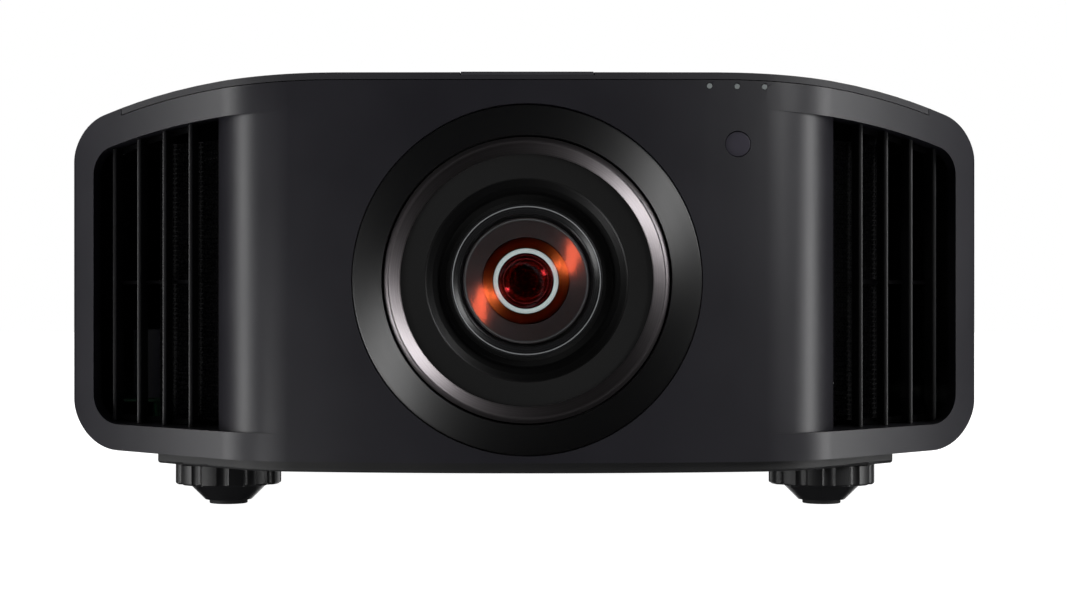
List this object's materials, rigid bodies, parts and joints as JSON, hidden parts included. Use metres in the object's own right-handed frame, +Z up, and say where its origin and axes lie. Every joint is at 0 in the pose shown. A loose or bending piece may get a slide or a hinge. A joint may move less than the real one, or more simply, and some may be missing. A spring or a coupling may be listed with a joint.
{
  "type": "home cinema projector",
  "caption": "Home cinema projector with a central lens that shifts behind a flared bezel, swept louvred front vents, rear keys and sockets, and screw-adjusted feet.",
  "frame": {"origin": "on the surface it stands on, midway between the sides and between the front and rear", "axes": "-Y out of the lens, +X to the right of somebody facing the lens, +Z up"},
  "size_m": [0.4998, 0.495, 0.2343],
  "materials": {
    "casing_black": "moulded, fine satin texture, charcoal black",
    "casing_dark": "moulded, matte black",
    "trim_strip": "satin lacquer, a shade lighter than the cover",
    "trim_metal": "turned and clear anodised, bright",
    "pan_steel": "pressed sheet, powder coated black",
    "zinc_steel": "bright zinc plated",
    "lens_glass": "polished, multi-coated, purple and amber reflections",
    "lens_black": "turned and matte black anodised",
    "sensor_filter": "polished, nearly black, passes infrared",
    "indicator_lens": "clear light guides, frosted ends",
    "foot_rubber": "matte",
    "foot_plastic": "moulded, satin black",
    "key_plastic": "satin moulded",
    "filter_foam": "open-cell foam",
    "circuit_board": "glass-epoxy board, green solder resist, dark parts",
    "socket_metal": "nickel-plated shells",
    "inlet_plastic": "moulded black",
    "bare_aluminium": "die-cast or machined, bare",
    "prism_glass": "polished faces",
    "panel_ceramic": "ceramic package",
    "lamp_shell": "heat-resistant grey",
    "lamp_glass": "dichroic-coated bowl and quartz burner",
    "gear_plastic": "natural acetal",
    "motor_steel": "drawn steel can",
    "fan_plastic": "glass-filled, matte"
  },
  "bodies": {
    "casing": {"front_cover": "casing_black", "front_louvres": "casing_dark", "top_cover": "casing_black", "top_spine": "trim_strip", "side_panel_left": "casing_black", "side_panel_right": "casing_black", "rear_cover": "casing_black", "bottom_pan": "pan_steel", "case_screws": "zinc_steel", "lens_bezel": "casing_dark", "lens_trim_ring": "trim_metal", "lens_baffle": "casing_dark", "sensor_windows": "sensor_filter", "indicator_lights": "indicator_lens", "air_filters": "filter_foam", "rear_sockets": "socket_metal", "power_inlet": "inlet_plastic", "main_board": "circuit_board", "key_board": "circuit_board", "power_board": "circuit_board", "shift_base": "bare_aluminium", "optical_frame": "bare_aluminium", "prism_block": "prism_glass", "imaging_panels": "panel_ceramic", "panel_heat_sinks": "bare_aluminium", "lamp_housing": "lamp_shell", "lamp": "lamp_glass", "fan_frames": "fan_plastic"},
    "lens": {"horizontal_carriage": "bare_aluminium", "lens_barrel": "lens_black", "lens_front_ring": "lens_black", "lens_elements": "lens_glass", "lens_shroud": "casing_dark", "lens_motors": "motor_steel"},
    "vertical_carriage": {"vertical_carriage": "bare_aluminium"},
    "vertical_screw": {"vertical_screw": "zinc_steel"},
    "horizontal_screw": {"horizontal_screw": "zinc_steel"},
    "focus_ring": {"focus_ring": "gear_plastic"},
    "zoom_ring": {"zoom_ring": "gear_plastic"},
    "focus_pinion": {"focus_pinion": "gear_plastic"},
    "zoom_pinion": {"zoom_pinion": "gear_plastic"},
    "fan_rotor_left": {"fan_rotor_left": "fan_plastic"},
    "fan_rotor_right": {"fan_rotor_right": "fan_plastic"},
    "intake_cover_left": {"intake_cover_left": "casing_dark"},
    "intake_cover_right": {"intake_cover_right": "casing_dark"},
    "ok_button": {"ok_button": "key_plastic"},
    "up_button": {"up_button": "key_plastic"},
    "down_button": {"down_button": "key_plastic"},
    "left_button": {"left_button": "key_plastic"},
    "right_button": {"right_button": "key_plastic"},
    "power_button": {"power_button": "key_plastic"},
    "menu_button": {"menu_button": "key_plastic"},
    "foot_pad_front_left": {"foot_pad_front_left": "foot_rubber"},
    "foot_pad_front_right": {"foot_pad_front_right": "foot_rubber"},
    "foot_pad_rear_left": {"foot_pad_rear_left": "foot_rubber"},
    "foot_pad_rear_right": {"foot_pad_rear_right": "foot_rubber"},
    "foot_wheel_front_left": {"foot_wheel_front_left": "foot_plastic"},
    "foot_wheel_front_right": {"foot_wheel_front_right": "foot_plastic"},
    "foot_wheel_rear_left": {"foot_wheel_rear_left": "foot_plastic"},
    "foot_wheel_rear_right": {"foot_wheel_rear_right": "foot_plastic"}
  },
  "joints": [
    {"name": "vertical_shift", "type": "slide", "parent": "casing", "child": "vertical_carriage", "axis": [0, 0, 1], "range_m": [-0.0066, 0.0066]},
    {"name": "vertical_screw_turn", "type": "hinge", "parent": "casing", "child": "vertical_screw", "pos_m": [0.077, -0.068, 0.119], "axis": [0, 0, 1], "range_deg": [-1190, 1190]},
    {"name": "horizontal_shift", "type": "slide", "parent": "vertical_carriage", "child": "lens", "axis": [1, 0, 0], "range_m": [-0.0053, 0.0053]},
    {"name": "horizontal_screw_turn", "type": "hinge", "parent": "vertical_carriage", "child": "horizontal_screw", "pos_m": [0, -0.08, 0.185], "axis": [1, 0, 0], "range_deg": [-956, 956]},
    {"name": "focus_ring_turn", "type": "hinge", "parent": "lens", "child": "focus_ring", "pos_m": [0, -0.19, 0.119], "axis": [0, -1, 0], "range_deg": [-50, 50]},
    {"name": "focus_pinion_turn", "type": "hinge", "parent": "lens", "child": "focus_pinion", "pos_m": [0.03829, -0.19, 0.15729], "axis": [0, -1, 0], "range_deg": [-340, 340]},
    {"name": "zoom_ring_turn", "type": "hinge", "parent": "lens", "child": "zoom_ring", "pos_m": [0, -0.15, 0.119], "axis": [0, -1, 0], "range_deg": [-50, 50]},
    {"name": "zoom_pinion_turn", "type": "hinge", "parent": "lens", "child": "zoom_pinion", "pos_m": [-0.03829, -0.15, 0.15729], "axis": [0, -1, 0], "range_deg": [-340, 340]},
    {"name": "fan_spin_left", "type": "hinge", "parent": "casing", "child": "fan_rotor_left", "pos_m": [-0.152, -0.136, 0.119], "axis": [-0.7071, -0.7071, 0], "continuous": true},
    {"name": "intake_cover_pull_left", "type": "slide", "parent": "casing", "child": "intake_cover_left", "axis": [0, 1, 0], "range_m": [0, 0.06]},
    {"name": "fan_spin_right", "type": "hinge", "parent": "casing", "child": "fan_rotor_right", "pos_m": [0.152, -0.136, 0.119], "axis": [0.7071, -0.7071, 0], "continuous": true},
    {"name": "intake_cover_pull_right", "type": "slide", "parent": "casing", "child": "intake_cover_right", "axis": [0, 1, 0], "range_m": [0, 0.06]},
    {"name": "ok_press", "type": "slide", "parent": "casing", "child": "ok_button", "axis": [0, -1, 0], "range_m": [0, 0.0008], "stiffness_N_per_m": 500, "springref_m": -0.0004},
    {"name": "up_press", "type": "slide", "parent": "casing", "child": "up_button", "axis": [0, -1, 0], "range_m": [0, 0.0008], "stiffness_N_per_m": 500, "springref_m": -0.0004},
    {"name": "down_press", "type": "slide", "parent": "casing", "child": "down_button", "axis": [0, -1, 0], "range_m": [0, 0.0008], "stiffness_N_per_m": 500, "springref_m": -0.0004},
    {"name": "left_press", "type": "slide", "parent": "casing", "child": "left_button", "axis": [0, -1, 0], "range_m": [0, 0.0008], "stiffness_N_per_m": 500, "springref_m": -0.0004},
    {"name": "right_press", "type": "slide", "parent": "casing", "child": "right_button", "axis": [0, -1, 0], "range_m": [0, 0.0008], "stiffness_N_per_m": 500, "springref_m": -0.0004},
    {"name": "power_press", "type": "slide", "parent": "casing", "child": "power_button", "axis": [0, -1, 0], "range_m": [0, 0.0008], "stiffness_N_per_m": 500, "springref_m": -0.0004},
    {"name": "menu_press", "type": "slide", "parent": "casing", "child": "menu_button", "axis": [0, -1, 0], "range_m": [0, 0.0008], "stiffness_N_per_m": 500, "springref_m": -0.0004},
    {"name": "foot_lift_front_left", "type": "slide", "parent": "casing", "child": "foot_pad_front_left", "axis": [0, 0, -1], "range_m": [0, 0.00501]},
    {"name": "foot_turn_front_left", "type": "hinge", "parent": "foot_pad_front_left", "child": "foot_wheel_front_left", "pos_m": [-0.1597, -0.152, 0.016], "axis": [0, 0, -1], "range_deg": [0, 1440]},
    {"name": "foot_lift_front_right", "type": "slide", "parent": "casing", "child": "foot_pad_front_right", "axis": [0, 0, -1], "range_m": [0, 0.00501]},
    {"name": "foot_turn_front_right", "type": "hinge", "parent": "foot_pad_front_right", "child": "foot_wheel_front_right", "pos_m": [0.1597, -0.152, 0.016], "axis": [0, 0, -1], "range_deg": [0, 1440]},
    {"name": "foot_lift_rear_left", "type": "slide", "parent": "casing", "child": "foot_pad_rear_left", "axis": [0, 0, -1], "range_m": [0, 0.00501]},
    {"name": "foot_turn_rear_left", "type": "hinge", "parent": "foot_pad_rear_left", "child": "foot_wheel_rear_left", "pos_m": [-0.15, 0.15, 0.016], "axis": [0, 0, -1], "range_deg": [0, 1440]},
    {"name": "foot_lift_rear_right", "type": "slide", "parent": "casing", "child": "foot_pad_rear_right", "axis": [0, 0, -1], "range_m": [0, 0.00501]},
    {"name": "foot_turn_rear_right", "type": "hinge", "parent": "foot_pad_rear_right", "child": "foot_wheel_rear_right", "pos_m": [0.15, 0.15, 0.016], "axis": [0, 0, -1], "range_deg": [0, 1440]}
  ],
  "couplings": [
    {"joint": "vertical_screw_turn", "follows": "vertical_shift", "rad_per_m": -3141.6},
    {"joint": "horizontal_screw_turn", "follows": "horizontal_shift", "rad_per_m": -3141.6},
    {"joint": "focus_pinion_turn", "follows": "focus_ring_turn", "ratio": -6.7143},
    {"joint": "zoom_pinion_turn", "follows": "zoom_ring_turn", "ratio": -6.7143},
    {"joint": "foot_lift_front_left", "follows": "foot_turn_front_left", "m_per_rad": 0.00019894},
    {"joint": "foot_lift_front_right", "follows": "foot_turn_front_right", "m_per_rad": 0.00019894},
    {"joint": "foot_lift_rear_left", "follows": "foot_turn_rear_left", "m_per_rad": 0.00019894},
    {"joint": "foot_lift_rear_right", "follows": "foot_turn_rear_right", "m_per_rad": 0.00019894}
  ]
}
